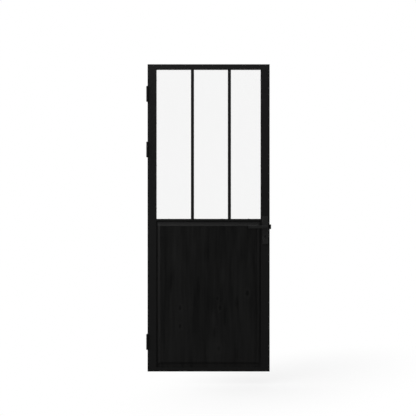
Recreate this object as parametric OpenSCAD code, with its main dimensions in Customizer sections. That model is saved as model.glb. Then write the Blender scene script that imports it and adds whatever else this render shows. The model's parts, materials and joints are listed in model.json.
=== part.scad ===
// Half-glazed steel door leaf: hollow steel stiles and rails, three tall panes
// over a raised wooden panel, three butt hinges and a lever lock.
// The origin is at the middle of the leaf's bottom edge, halfway through its thickness.
// X runs along the width, from the hinge side to the lock side, and Z runs up.
// The face with the hinge barrels looks along -Y. All sizes are millimetres.

/* [Leaf] */
// Width of the leaf
leaf_w = 890; // [800:5:1000]
// Height of the leaf
leaf_h = 2240; // [2100:10:2400]
// Thickness of the leaf
leaf_t = 40; // [38:1:46]

/* [Steel sections] */
// Visible face of each stile, lip included
stile_face = 64; // [62:1:72]
// Visible face of the top rail, lip included
top_face = 35; // [30:1:60]
// Visible face of the bottom rail, lip included
bottom_face = 30; // [26:1:60]
// Width of the lip that the glass and the panel sit behind
lip_w = 12; // [10:0.5:14]
// Thickness of the lip
lip_t = 4; // [3:0.5:5]
// Wall of the hollow sections, and of the plates let into them
wall = 3; // [2:0.5:4]

/* [Lock rail] */
// Height of the rail's lower edge
rail_z = 1061; // [1040:1:1080]
// Height of the rail's face, cap included
rail_face = 51.5; // [50:0.5:70]
// Steel face above the shadow groove
rail_strip_h = 14; // [13.5:0.5:18]
// Shadow groove between the steel face and the cap
rail_groove_h = 9; // [5:0.5:12]
// Hollow of the cap's sloping face
cap_hollow = 1.2; // [0.4:0.1:2]
// Joint between the cap and the panel's field
cap_joint = 1; // [0.5:0.25:2]

/* [Glazing] */
// Visible face of a glazing bar
bar_face = 22; // [18:1:26]
// Web of a glazing bar
bar_web = 5; // [4:0.5:6]
// Clear width of the left pane
pane_left_w = 252; // [200:1:280]
// Clear width of the middle pane
pane_middle_w = 248; // [200:1:280]
// Thickness of the glass
glass_t = 8; // [6:1:10]
// Gasket between the glass and the steel, on each face
gasket_t = 3; // [2:0.5:4]
// Space between a pane's or the panel's edge and the steel
edge_gap = 2.5; // [1.5:0.25:3]
// How far the gaskets stay behind the edge of the lips
gasket_inset = 1; // [0.5:0.25:1.5]
// Wall of the beads
bead_wall = 1.5; // [1:0.25:2.5]
// How far the beads lie behind the leaf's rear face
bead_setback = 2; // [0:0.5:4]

/* [Panel] */
// Thickness of the panel's edge
panel_t = 18; // [14:1:20]
// Flat margin beside the raised field
panel_margin = 8; // [6:1:30]
// Flat margin below the raised field
panel_margin_low = 22; // [8:1:40]
// Width of the bevel around the field
panel_bevel = 18; // [10:1:40]
// Step at the foot of the bevel
panel_step = 1.5; // [0.5:0.25:2.5]
// Rise of the field on the hinge face
panel_rise = 9; // [4:0.5:9.5]
// Rise of the field on the rear face
panel_rise_back = 7; // [4:0.5:9]
// Seal between the lips and the panel
seal_t = 6; // [3:0.5:7]

/* [Hinges] */
// Length of the hinge barrel
hinge_h = 110; // [95:1:130]
// Centre of the low and the top hinge from the leaf's ends
hinge_end = 217; // [150:1:300]
// Centre of the middle hinge below the top one
hinge_mid_drop = 405; // [300:1:700]
// Radius of the barrel
knuckle_r = 7.5; // [7:0.25:8]
// Radius of the pin
pin_r = 3.5; // [3:0.25:4.5]
// Gap between the leaf and the jamb
jamb_gap = 3; // [2:0.5:4]
// Barrel axis in front of the leaf's face
axis_out = 8; // [7.75:0.25:9]
// Depth of the hinge plates along the leaf's edge
hinge_plate_d = 32; // [28:0.5:35]
// Corner radius of the hinge plates
hinge_corner_r = 5; // [2:0.5:8]
// Gap between two knuckles
knuckle_gap = 1.6; // [1:0.1:2.5]
// Height of the pin's end buttons
tip_h = 2; // [1:0.25:3]
// Radius of the fixing holes
hinge_hole_r = 2.75; // [2.25:0.25:3.25]
// Spacing of the fixing holes across the plate
hinge_hole_dy = 16; // [14:0.5:18]
// Spacing of the fixing holes along the plate
hinge_hole_dz = 76; // [60:1:84]
// Depth of the countersinks
sink_d = 1.8; // [1.2:0.1:1.9]
// Thickness of the tapped plate behind each hinge
backing_t = 5; // [4:0.5:8]

/* [Lock] */
// Height of the lever's axis
lever_z = 1055; // [1040:1:1070]
// Lever axis to the leaf's edge
backset = 32; // [31:0.5:34]
// Keyhole below the lever's axis
key_drop = 70; // [68:1:72]
// Thickness of the lock case
case_t = 16; // [15:0.5:18]
// Depth of the lock case behind the forend
case_d = 44; // [44:0.25:45]
// Lock case above the lever's axis
case_up = 50; // [40:1:55]
// Lock case below the lever's axis
case_down = 103; // [98:1:104]
// Sheet of the lock case
sheet_t = 1.5; // [1:0.25:1.5]
// Width of the forend
forend_w = 22; // [20:0.5:26]
// Forend above the lever's axis
forend_up = 75; // [72:1:80]
// Forend below the lever's axis
forend_down = 125; // [123:1:130]
// Height of the latch bolt
latch_h = 34; // [28:0.5:34]
// Thickness of the latch bolt
latch_t = 12; // [10:0.25:12]
// Throw of the latch bolt
latch_throw = 12; // [10:0.25:12]
// Height of the dead bolt
dead_h = 24; // [18:0.5:26]
// Thickness of the dead bolt
dead_t = 10; // [8:0.25:11]
// Centre of the dead bolt below the lever's axis
dead_drop = 42; // [40:0.5:44]
// Throw of the dead bolt
dead_throw = 15; // [10:0.5:15]
// Radius of the follower
follower_r = 11; // [10:0.25:11]
// Turn of the lever, in degrees
lever_turn = 40; // [30:1:40]

/* [Handles] */
// Width of the handle plates
plate_w = 41; // [36:0.5:44]
// Handle plate above the lever's axis
plate_up = 75; // [70:1:80]
// Handle plate below the lever's axis
plate_down = 126; // [118:1:126]
// Thickness of the handle plates
plate_t = 8; // [6:0.5:10]
// Bevel around the handle plates
plate_bevel = 2; // [1:0.25:3]
// Length of the lever from its axis
lever_len = 125; // [100:1:140]
// Height of the lever's grip
grip_h = 20; // [18:0.5:24]
// Depth of the lever's grip
grip_d = 12; // [10:0.5:16]
// Rounding of the grip's edges
grip_r = 3; // [1:0.25:4]
// Space between the handle plate and the grip
grip_stand = 36; // [30:1:45]
// Radius of the lever's neck
neck_r = 8; // [7.5:0.25:9]
// Side of the square spindle
spindle_w = 8; // [7:0.5:8]
// Wall of the lever's bush
bush_t = 2.5; // [1.5:0.25:3]

/* [Fits] */
// Running clearance on a radius
run_fit = 0.05; // [0.02:0.01:0.1]
// Slip clearance around a piece that is let in
slip_fit = 0.1; // [0.05:0.05:0.3]
// Room around a sliding bolt
bolt_fit = 0.4; // [0.3:0.05:0.6]

/* [Hidden] */
$fn = 64;
// Sides of a wide, shallow arc
arc_fn = 360;
// How far a cut runs past the face that it opens
past = 1;
// Outer planes of the leaf
edge_x = leaf_w / 2;
front_y = -leaf_t / 2;
back_y = leaf_t / 2;

// Hollow part of each section, without its lip
stile_chamber = stile_face - lip_w;
top_chamber = top_face - lip_w;
bottom_chamber = bottom_face - lip_w;

// Half width between the stiles, at the sections and at the lips
pocket_x = edge_x - stile_chamber;
sight_x = pocket_x - lip_w;

// Glass opening, at the sections and at the lips
rail_top_z = rail_z + rail_face;
glass_z0 = rail_top_z - lip_w;
glass_z1 = leaf_h - top_chamber;
sight_z0 = rail_top_z;
sight_z1 = glass_z1 - lip_w;

// Panel opening, at the sections and at the lips
panel_z0 = bottom_chamber;
panel_z1 = rail_z + lip_w;

// Edges of the lock rail's steel face and of its cap
strip_z0 = rail_top_z - rail_strip_h;
cap_z1 = strip_z0 - rail_groove_h;

// Layers of the glazing through the thickness
lip_y = front_y + lip_t;
glass_y0 = lip_y + gasket_t;
glass_y1 = glass_y0 + glass_t;
bead_y0 = glass_y1 + gasket_t;
bead_y1 = back_y - bead_setback;

// Layers of the panel through the thickness
panel_y0 = lip_y + seal_t;
panel_y1 = panel_y0 + panel_t;

// Half width of the raised field and of the cap, at the foot of their bevels
field_x = sight_x - panel_margin;

// Glazing bars, and the pockets and clear widths between them
bar_left_x = -sight_x + pane_left_w + bar_face / 2;
bar_right_x = bar_left_x + bar_face + pane_middle_w;
bars = [bar_left_x, bar_right_x];
panes = len(bars) + 1;
function pocket(i) = [
    i == 0 ? -pocket_x : bars[i - 1] + bar_web / 2,
    i == panes - 1 ? pocket_x : bars[i] - bar_web / 2
];
function sight(i) = [
    i == 0 ? -sight_x : bars[i - 1] + bar_face / 2,
    i == panes - 1 ? sight_x : bars[i] - bar_face / 2
];

// Screw heads: flat and side of a rounded head, as shares of its radius and height,
// and how far a countersunk head lies under its face
head_flat = 0.6;
head_side = 0.4;
head_under = 0.2;

// Bead screws: shank, head, and how far they reach into the steel
bead_screw_r = 2;
bead_head_r = 3.6;
bead_head_h = 2;
screw_past = 2;
bead_end_gap = 90;
bead_screw_count = 4;
cover_screw_count = 3;
bead_y_mid = (bead_y0 + bead_y1) / 2;
panel_bead_y_mid = (panel_y1 + bead_y1) / 2;
cover_screw_r = 1.5;
cover_screw_len = 12;
cover_head_r = 2.85;
cover_head_h = 1.4;

// Evenly spaced places along a run, with the ends kept clear
function places(lo, hi, count) = [
    for (i = [0 : count - 1])
        lo + bead_end_gap + (hi - lo - 2 * bead_end_gap) * i / (count - 1)
];

// Places of the screws along the beads and the bar covers
glass_side_screws = places(glass_z0, glass_z1, bead_screw_count);
panel_side_screws = places(panel_z0, panel_z1, bead_screw_count);
cross_screws = places(-sight_x, sight_x, bead_screw_count);
cover_screws = places(sight_z0, sight_z1, cover_screw_count);

// Hinges
hinge_plate_t = wall;
hinge_low_z = hinge_end;
hinge_top_z = leaf_h - hinge_end;
hinge_mid_z = hinge_top_z - hinge_mid_drop;
hinge_heights = [hinge_low_z, hinge_mid_z, hinge_top_z];
axis_x = -edge_x - jamb_gap / 2;
axis_y = front_y - axis_out;
knuckles = 5;
knuckle_h = (hinge_h - (knuckles - 1) * knuckle_gap) / knuckles;
jamb_x = -edge_x - jamb_gap;
hinge_hole_y = front_y + hinge_plate_d / 2;
sink_r = hinge_hole_r + sink_d;
hole_room = 0.35;
hinge_screw_r = hinge_hole_r - hole_room;
pin_fit = 0.03;
pin_wall = 0.5;
washer_in = 0.2;
backing_over = 8;
tip_in = 1;
tip_r = knuckle_r - tip_in;
function knuckle_z(k) = -hinge_h / 2 + k * (knuckle_h + knuckle_gap);

// Lock
lever_x = edge_x - backset;
key_z = lever_z - key_drop;
case_x1 = edge_x - wall;
case_x0 = case_x1 - case_d;
case_z0 = lever_z - case_down;
case_z1 = lever_z + case_up;
forend_z0 = lever_z - forend_down;
forend_z1 = lever_z + forend_up;
forend_screw_in = 9;
forend_screw_heights = [forend_z0 + forend_screw_in, forend_z1 - forend_screw_in];
forend_screw_r = 2;
forend_sink_d = 1.6;
lug_h = 16;
lug_t = 6;
lug_over = 4;
trunnion_r = 8.5;
key_r = 4.5;
key_slot_w = 4;
key_slot_h = 12;

// Follower's finger swings evenly to both sides of upright and drives the latch
finger_lean = lever_turn / 2;
finger_reach = latch_throw / (2 * sin(finger_lean));
finger_r = 2.5;
finger_w = 3;
finger_t = 4;
finger_x = lever_x + finger_reach * sin(finger_lean);
inner_room = 0.5;

// Latch bolt: head in the forend, tail over the follower
latch_tip_x = edge_x + latch_throw;
latch_heel_x = lever_x + follower_r + latch_throw + 2 * inner_room;
latch_nose_r = 3;
latch_blunt = 2;
tail_t = 6;
tail_z0 = lever_z + follower_r + inner_room;
tail_slot_z1 = lever_z + finger_reach + finger_r + inner_room;
tail_bridge = 3;
tail_z1 = tail_slot_z1 + tail_bridge;
tail_slot_w = 2 * (finger_r + 3 * bolt_fit);
tail_hook = 3;
tail_x0 = finger_x - tail_slot_w / 2 - tail_hook;
tail_x1 = case_x1 - sheet_t - inner_room;
spring_t = 0.8;
spring_foot = 14;

// Dead bolt: head in the forend, tail with the notch that the key drives
dead_z = lever_z - dead_drop;
dead_keep = 7;
dead_head = dead_throw + dead_keep;
dead_tail = 18;
dead_tail_t = 4;
dead_tail_z0 = key_z + key_r + 2 * inner_room;
dead_notch_w = 9;
dead_notch_h = 7;

// Handles
plate_z0 = lever_z - plate_down;
plate_z1 = lever_z + plate_up;
plate_corner_r = 4;
plate_face_y = front_y - plate_t;
grip_y1 = plate_face_y - grip_stand;
grip_y0 = grip_y1 - grip_d;
neck_start = 1;
spindle_end = 6;
spindle_y = grip_y1 + spindle_end;
bush_r = neck_r + bush_t;
bush_collar_t = 1.5;
bush_collar_r = bush_r + bush_collar_t;
plate_screw_in = 10;
plate_screw_heights = [plate_z0 + plate_screw_in, plate_z1 - plate_screw_in];
plate_screw_r = 2.5;
plate_head_r = 4.6;
boss_r = 4.5;
boss_len = 14;
grub_r = 2;
grub_out = 0.3;
grub_y = plate_face_y - grip_stand / 3;

// Colours
steel_black = "#1d1e1e";
wood_black = "#181716";
rubber_black = "#0e0e0e";
handle_black = "#191919";
lock_grey = "#8f9294";
zinc = "#a9adaf";
clear_glass = [0.93, 0.96, 0.95, 0.35];

// Box between two corners
module span(lo, hi) {
    translate(lo) cube(hi - lo);
}

// Outline in Y and Z, drawn out along X
module along_x(x0, x1) {
    translate([x0, 0, 0]) rotate([90, 0, 90]) linear_extrude(x1 - x0) children();
}

// Outline in X and Z, drawn out along Y
module along_y(y0, y1) {
    translate([0, y1, 0]) rotate([90, 0, 0]) linear_extrude(y1 - y0) children();
}

// Outline in X and Y, drawn out along Z
module along_z(z0, z1) {
    translate([0, 0, z0]) linear_extrude(z1 - z0) children();
}

// Round bar along each axis, from a point
module rod_x(from, length, r) {
    translate(from) rotate([0, 90, 0]) cylinder(h = length, r = r);
}
module rod_y(from, length, r) {
    translate(from) rotate([-90, 0, 0]) cylinder(h = length, r = r);
}
module rod_z(from, length, r) {
    translate(from) cylinder(h = length, r = r);
}

// Rectangle with true arcs at its corners
module round_rect(x0, x1, z0, z1, r) {
    translate([x0 + r, z0]) square([x1 - x0 - 2 * r, z1 - z0]);
    translate([x0, z0 + r]) square([x1 - x0, z1 - z0 - 2 * r]);
    for (x = [x0 + r, x1 - r], z = [z0 + r, z1 - r]) translate([x, z]) circle(r);
}

// Copy to the rear face
module rear() {
    mirror([0, 1, 0]) children();
}

// Hollow stile with its lip and closed ends, on the hinge side
module stile_section() {
    difference() {
        union() {
            span([-edge_x, front_y, 0], [-pocket_x, back_y, leaf_h]);
            span([-pocket_x, front_y, 0], [-sight_x, lip_y, leaf_h]);
        }
        span(
            [-edge_x + wall, front_y + wall, wall],
            [-pocket_x - wall, back_y - wall, leaf_h - wall]
        );
        stile_bead_holes();
    }
}

// Holes for the bead screws in the stile's inner wall
module stile_bead_holes() {
    for (z = glass_side_screws) stile_hole(bead_y_mid, z);
    for (z = panel_side_screws) stile_hole(panel_bead_y_mid, z);
}
module stile_hole(y, z) {
    rod_x([-pocket_x - wall - past, y, z], wall + 2 * past, bead_screw_r + run_fit);
}

// Space that the stiles' lips take at the ends of a rail
module stile_lips(z0, z1) {
    for (side = [-1, 1])
        scale([side, 1, 1])
            span([sight_x, front_y - past, z0 - past], [pocket_x + past, lip_y, z1 + past]);
}

// Holes for the bead screws in a rail's wall
module rail_holes(y, z) {
    for (x = cross_screws) rod_z([x, y, z - past], wall + 2 * past, bead_screw_r + run_fit);
}

module hinge_stile() {
    color(steel_black) {
        difference() {
            stile_section();
            for (zc = hinge_heights) hinge_recess(zc);
        }
        for (zc = hinge_heights) hinge_backing(zc);
    }
}

module lock_stile() {
    color(steel_black) {
        difference() {
            mirror([1, 0, 0]) stile_section();
            span(
                [edge_x - wall - past, -forend_w / 2 - slip_fit, forend_z0 - slip_fit],
                [edge_x + past, forend_w / 2 + slip_fit, forend_z1 + slip_fit]
            );
            handle_holes();
        }
        for (z = forend_screw_heights) forend_lug(z);
    }
}

// Holes through both faces of the lock stile, for the handles and the key
module handle_holes() {
    rod_y([lever_x, front_y - past, lever_z], leaf_t + 2 * past, bush_r + slip_fit);
    along_y(front_y - past, back_y + past) keyhole();
    for (z = plate_screw_heights) rod_y([lever_x, front_y - past, z], leaf_t + 2 * past, boss_r + slip_fit);
}

// Tapped tab behind one end of the forend
module forend_lug(zc) {
    half_w = forend_w / 2 + lug_over;
    difference() {
        span(
            [case_x1 - lug_t, -half_w, zc - lug_h / 2],
            [case_x1, half_w, zc + lug_h / 2]
        );
        rod_x([case_x1 - lug_t - past, 0, zc], lug_t + 2 * past, forend_screw_r + run_fit);
    }
}

module top_rail() {
    color(steel_black) difference() {
        union() {
            span([-pocket_x, front_y, glass_z1], [pocket_x, back_y, leaf_h]);
            span([-sight_x, front_y, sight_z1], [sight_x, lip_y, glass_z1]);
        }
        span(
            [-pocket_x - past, front_y + wall, glass_z1 + wall],
            [pocket_x + past, back_y - wall, leaf_h - wall]
        );
        stile_lips(glass_z1, leaf_h);
        rail_holes(bead_y_mid, glass_z1);
    }
}

module bottom_rail() {
    color(steel_black) difference() {
        union() {
            span([-pocket_x, front_y, 0], [pocket_x, back_y, panel_z0]);
            span([-sight_x, front_y, panel_z0], [sight_x, lip_y, bottom_face]);
        }
        span(
            [-pocket_x - past, front_y + wall, wall],
            [pocket_x + past, back_y - wall, panel_z0 - wall]
        );
        stile_lips(0, panel_z0);
        rail_holes(panel_bead_y_mid, panel_z0 - wall);
    }
}

// Outer section of the lock rail: box behind the cap, with the lip of the glass above it
module lock_rail_outline() {
    polygon([
        [front_y, rail_top_z],
        [lip_y, rail_top_z],
        [lip_y, glass_z0],
        [back_y, glass_z0],
        [back_y, panel_z1],
        [panel_y0, panel_z1],
        [panel_y0, strip_z0],
        [front_y, strip_z0]
    ]);
}

module lock_rail() {
    color(steel_black) difference() {
        along_x(-pocket_x, pocket_x) lock_rail_outline();
        span(
            [-pocket_x - past, panel_y0 + wall, panel_z1 + wall],
            [pocket_x + past, back_y - wall, glass_z0 - wall]
        );
        stile_lips(rail_z, rail_top_z);
        rail_holes(bead_y_mid, glass_z0 - wall);
        rail_holes(panel_bead_y_mid, panel_z1);
    }
}

// Section of the cap: its face slopes from the groove down to the plane of the field and is
// hollowed by a shallow arc between its two edges
module cap_outline() {
    top = [panel_y0 - panel_step, cap_z1];
    foot = [panel_y0 - panel_rise, rail_z];
    chord = foot - top;
    length = norm(chord);
    out = [chord[1], -chord[0]] / length;
    r = (length * length / 4 + cap_hollow * cap_hollow) / (2 * cap_hollow);
    difference() {
        polygon([[panel_y0, rail_z], [panel_y0, cap_z1], top, foot]);
        translate((top + foot) / 2 + out * (r - cap_hollow)) circle(r, $fn = arc_fn);
    }
}

// Cap on the lock rail, in line with the raised field below it
module rail_cap() {
    color(steel_black) intersection() {
        along_x(-field_x, field_x) cap_outline();
        along_z(rail_z, cap_z1) translate([0, panel_y0]) field_section(panel_rise);
    }
}

// T-shaped glazing bar: face between the lips, web between the panes
module glazing_bar(x) {
    tongue_y = bead_y1 - bead_wall;
    color(steel_black) difference() {
        union() {
            span([x - bar_face / 2, front_y, sight_z0], [x + bar_face / 2, lip_y, sight_z1]);
            span([x - bar_web / 2, lip_y, glass_z0], [x + bar_web / 2, bead_y0, glass_z1]);
            span([x - bar_web / 2, bead_y0, sight_z0], [x + bar_web / 2, tongue_y, sight_z1]);
        }
        for (z = cover_screws)
            rod_y(
                [x, tongue_y - cover_screw_len, z],
                cover_screw_len + past,
                cover_screw_r + run_fit
            );
    }
}

// Channel that covers a glazing bar's web behind the glass
module bar_cover(x) {
    color(steel_black) difference() {
        span([x - bar_face / 2, bead_y0, sight_z0], [x + bar_face / 2, bead_y1, sight_z1]);
        span(
            [x - bar_face / 2 + bead_wall, bead_y0 - past, sight_z0 - past],
            [x + bar_face / 2 - bead_wall, bead_y1 - bead_wall, sight_z1 + past]
        );
        for (z = cover_screws)
            rod_y([x, bead_y1 - bead_wall - past, z], bead_wall + 2 * past, cover_screw_r + run_fit);
    }
}

module pane(i) {
    p = pocket(i);
    color(clear_glass) span(
        [p[0] + edge_gap, glass_y0, glass_z0 + edge_gap],
        [p[1] - edge_gap, glass_y1, glass_z1 - edge_gap]
    );
}

// U-shaped gasket around one pane
module pane_gasket(i) {
    p = pocket(i);
    s = sight(i);
    color(rubber_black) difference() {
        span([p[0], lip_y, glass_z0], [p[1], bead_y0, glass_z1]);
        span(
            [s[0] - gasket_inset, lip_y - past, sight_z0 - gasket_inset],
            [s[1] + gasket_inset, bead_y0 + past, sight_z1 + gasket_inset]
        );
        pane(i);
    }
}

// Hollow bead drawn out along X, behind the glass or the panel
module cross_bead(y0, z0, y_mid) {
    color(steel_black) difference() {
        span([-sight_x, y0, z0], [sight_x, bead_y1, z0 + lip_w]);
        span(
            [-sight_x - past, y0 + bead_wall, z0 + bead_wall],
            [sight_x + past, bead_y1 - bead_wall, z0 + lip_w - bead_wall]
        );
        for (x = cross_screws)
            rod_z([x, y_mid, z0 - past], lip_w + 2 * past, bead_screw_r + slip_fit);
    }
}

// Hollow bead drawn out along Z, on the hinge side
module side_bead(y0, z0, z1, y_mid, zs) {
    color(steel_black) difference() {
        span([-pocket_x, y0, z0], [-sight_x, bead_y1, z1]);
        span(
            [-pocket_x + bead_wall, y0 + bead_wall, z0 - past],
            [-sight_x - bead_wall, bead_y1 - bead_wall, z1 + past]
        );
        for (z = zs) rod_x([-pocket_x - past, y_mid, z], lip_w + 2 * past, bead_screw_r + slip_fit);
    }
}

module glazing_side_bead() {
    side_bead(bead_y0, glass_z0, glass_z1, bead_y_mid, glass_side_screws);
}

module panel_side_bead() {
    side_bead(panel_y1, panel_z0, panel_z1, panel_bead_y_mid, panel_side_screws);
}

// Round-headed screw that holds a bead, pointing up from the head's seat
module bead_screw() {
    reach = lip_w + wall + screw_past;
    rotate_extrude() polygon([
        [0, -bead_head_h],
        [bead_head_r * head_flat, -bead_head_h],
        [bead_head_r, -bead_head_h * head_side],
        [bead_head_r, 0],
        [bead_screw_r, 0],
        [bead_screw_r, reach],
        [0, reach]
    ]);
}

// Screws of one side's beads
module side_screws() {
    for (z = glass_side_screws)
        translate([-sight_x, bead_y_mid, z]) rotate([0, -90, 0]) bead_screw();
    for (z = panel_side_screws)
        translate([-sight_x, panel_bead_y_mid, z]) rotate([0, -90, 0]) bead_screw();
}

module bead_screws() {
    color(zinc) {
        side_screws();
        mirror([1, 0, 0]) side_screws();
        for (x = cross_screws) {
            translate([x, bead_y_mid, sight_z1]) bead_screw();
            translate([x, bead_y_mid, sight_z0]) rotate([180, 0, 0]) bead_screw();
        }
        for (x = cross_screws) {
            translate([x, panel_bead_y_mid, rail_z]) bead_screw();
            translate([x, panel_bead_y_mid, bottom_face]) rotate([180, 0, 0]) bead_screw();
        }
        for (x = bars, z = cover_screws) translate([x, bead_y1, z]) cover_screw();
    }
}

// Small screw through a bar cover into the web, its head on the cover
module cover_screw() {
    reach = bead_wall + cover_screw_len - past;
    rotate([90, 0, 0]) rotate_extrude() polygon([
        [0, -cover_head_h],
        [cover_head_r * head_flat, -cover_head_h],
        [cover_head_r, 0],
        [cover_screw_r, 0],
        [cover_screw_r, reach],
        [0, reach]
    ]);
}

// Section of the raised field in X and Y: a step and a bevel on each side, standing on y = 0
module field_section(rise) {
    polygon([
        [-field_x, 0],
        [field_x, 0],
        [field_x, -panel_step],
        [field_x - panel_bevel, -rise],
        [-field_x + panel_bevel, -rise],
        [-field_x, -panel_step]
    ]);
}

// Raised field up to a height, where it has a bevel or ends square
module raised_field(rise, z1, top_bevel) {
    z0 = bottom_face + panel_margin_low;
    intersection() {
        along_z(z0 - past, z1 + past) field_section(rise);
        along_x(-field_x - past, field_x + past) polygon([
            [0, z0],
            [-panel_step, z0],
            [-rise, z0 + panel_bevel],
            [-rise, z1 - top_bevel],
            [-panel_step, z1],
            [0, z1]
        ]);
    }
}

module wood_panel() {
    color(wood_black) {
        span(
            [-pocket_x + edge_gap, panel_y0, panel_z0 + edge_gap],
            [pocket_x - edge_gap, panel_y1, panel_z1 - edge_gap]
        );
        translate([0, panel_y0, 0]) raised_field(panel_rise, rail_z - cap_joint, 0);
        translate([0, panel_y1, 0])
            rear() raised_field(panel_rise_back, rail_z - panel_margin, panel_bevel);
    }
}

// Seal strip between the lips and the panel, on the sides and below; the cap closes the top
module panel_seal() {
    x1 = sight_x + gasket_inset;
    color(rubber_black) difference() {
        span([-pocket_x, lip_y, panel_z0], [pocket_x, panel_y0, panel_z1]);
        span(
            [-x1, lip_y - past, bottom_face - gasket_inset],
            [x1, panel_y0 + past, panel_z1 + past]
        );
    }
}

// Outline of a hinge plate in Y and Z, round at its rear corners
module hinge_plate_outline(zc, grow) {
    y1 = front_y + hinge_plate_d;
    r = hinge_corner_r;
    z0 = zc - hinge_h / 2;
    z1 = zc + hinge_h / 2;
    translate([front_y - grow, z0 - grow])
        square([hinge_plate_d - r + grow, hinge_h + 2 * grow]);
    translate([front_y - grow, z0 + r]) square([hinge_plate_d + 2 * grow, hinge_h - 2 * r]);
    for (z = [z0 + r, z1 - r]) translate([y1 - r, z]) circle(r + grow);
}

// Places of a hinge plate's screws, as Y and Z
function hinge_holes(zc) = [
    for (dy = [-1, 1], dz = [-1, 1])
        [hinge_hole_y + dy * hinge_hole_dy / 2, zc + dz * hinge_hole_dz / 2]
];

// Recess in the stile's edge that the leaf plate lies in
module hinge_recess(zc) {
    along_x(-edge_x - past, -edge_x + hinge_plate_t) hinge_plate_outline(zc, slip_fit);
}

// Tapped plate behind the recess, as wide as the chamber
module hinge_backing(zc) {
    x0 = -edge_x + hinge_plate_t;
    difference() {
        span(
            [x0, front_y + wall, zc - hinge_h / 2 - backing_over],
            [x0 + backing_t, back_y - wall, zc + hinge_h / 2 + backing_over]
        );
        for (h = hinge_holes(zc))
            rod_x([x0 - past, h[0], h[1]], backing_t + 2 * past, hinge_screw_r + run_fit);
    }
}

// Hinge plate and its knuckles. x0 is the plate's near face, side is 1 for the leaf
module hinge_half(zc, side, first, bore_r) {
    face_x = axis_x + side * jamb_gap / 2;
    far_x = face_x + side * hinge_plate_t;
    x0 = min(face_x, far_x);
    x1 = max(face_x, far_x);
    difference() {
        union() {
            along_x(x0, x1) hinge_plate_outline(zc, 0);
            for (k = [first : 2 : knuckles - 1]) {
                z0 = zc + knuckle_z(k);
                rod_z([axis_x, axis_y, z0], knuckle_h, knuckle_r);
                span([x0, axis_y + pin_r + pin_wall, z0], [x1, front_y, z0 + knuckle_h]);
            }
        }
        rod_z([axis_x, axis_y, zc - hinge_h], 2 * hinge_h, bore_r);
        for (h = hinge_holes(zc)) {
            rod_x([x0 - past, h[0], h[1]], hinge_plate_t + 2 * past, hinge_hole_r);
            hinge_sink(face_x, side, h);
        }
    }
}

// Countersink in a hinge plate's near face
module hinge_sink(face_x, side, h) {
    translate([face_x, h[0], h[1]])
        rotate([0, side * 90, 0])
            cylinder(h = sink_d, r1 = sink_r, r2 = hinge_hole_r);
}

module hinge_jamb_plate(zc) {
    color(steel_black) hinge_half(zc, -1, 0, pin_r + pin_fit);
}

module hinge_leaf_plate(zc) {
    color(steel_black) hinge_half(zc, 1, 1, pin_r + run_fit);
}

// Pin with a rounded button at each end
module hinge_pin(zc) {
    color(steel_black) translate([axis_x, axis_y, zc]) rotate_extrude() polygon([
        [0, -hinge_h / 2 - tip_h],
        [tip_r * head_flat, -hinge_h / 2 - tip_h],
        [tip_r, -hinge_h / 2 - tip_h * head_side],
        [tip_r, -hinge_h / 2],
        [pin_r, -hinge_h / 2],
        [pin_r, hinge_h / 2],
        [tip_r, hinge_h / 2],
        [tip_r, hinge_h / 2 + tip_h * head_side],
        [tip_r * head_flat, hinge_h / 2 + tip_h],
        [0, hinge_h / 2 + tip_h]
    ]);
}

// Bearing washers under the two knuckles that carry the leaf
module hinge_washers(zc) {
    color(rubber_black) for (k = [0, 2]) difference() {
        z0 = zc + knuckle_z(k) + knuckle_h;
        rod_z([axis_x, axis_y, z0], knuckle_gap - run_fit, knuckle_r - washer_in);
        rod_z([axis_x, axis_y, z0 - past], knuckle_gap + 2 * past, pin_r + run_fit);
    }
}

// Countersunk screw in a leaf plate, its head level with the plate
module hinge_screw() {
    reach = hinge_plate_t + backing_t + screw_past;
    top_r = sink_r - slip_fit;
    rotate([0, 90, 0]) rotate_extrude() polygon([
        [0, head_under],
        [top_r - head_under, head_under],
        [hinge_screw_r, top_r - hinge_screw_r],
        [hinge_screw_r, reach],
        [0, reach]
    ]);
}

module hinge_screws() {
    color(steel_black)
        for (zc = hinge_heights, h = hinge_holes(zc))
            translate([-edge_x, h[0], h[1]]) hinge_screw();
}

// Keyhole outline in X and Z
module keyhole() {
    translate([lever_x, key_z]) {
        circle(key_r);
        translate([-key_slot_w / 2, -key_slot_h]) square([key_slot_w, key_slot_h]);
    }
}

// Way of a bolt through the case's front and the forend
module bolt_way(zc, h, t) {
    span(
        [case_x1 - sheet_t - past, -t / 2 - bolt_fit, zc - h / 2 - bolt_fit],
        [edge_x + past, t / 2 + bolt_fit, zc + h / 2 + bolt_fit]
    );
}

module bolt_ways() {
    bolt_way(lever_z, latch_h, latch_t);
    bolt_way(dead_z, dead_h, dead_t);
}

// Holes for the follower and the key in the case's flat sides
module case_holes() {
    rod_y([lever_x, -case_t, lever_z], 2 * case_t, trunnion_r + run_fit);
    along_y(-case_t, case_t) keyhole();
}

module lock_case() {
    color(lock_grey) difference() {
        span([case_x0, -case_t / 2, case_z0], [case_x1, case_t / 2 - sheet_t, case_z1]);
        span(
            [case_x0 + sheet_t, -case_t / 2 + sheet_t, case_z0 + sheet_t],
            [case_x1 - sheet_t, case_t, case_z1 - sheet_t]
        );
        case_holes();
        bolt_ways();
    }
}

module lock_cover() {
    color(lock_grey) difference() {
        span([case_x0, case_t / 2 - sheet_t, case_z0], [case_x1, case_t / 2, case_z1]);
        case_holes();
    }
}

module forend() {
    color(zinc) difference() {
        span([case_x1, -forend_w / 2, forend_z0], [edge_x, forend_w / 2, forend_z1]);
        bolt_ways();
        for (z = forend_screw_heights) {
            rod_x([case_x1 - past, 0, z], wall + 2 * past, forend_screw_r + slip_fit);
            translate([edge_x, 0, z]) rotate([0, -90, 0])
                cylinder(h = forend_sink_d, r1 = forend_screw_r + forend_sink_d, r2 = forend_screw_r);
        }
    }
}

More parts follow.
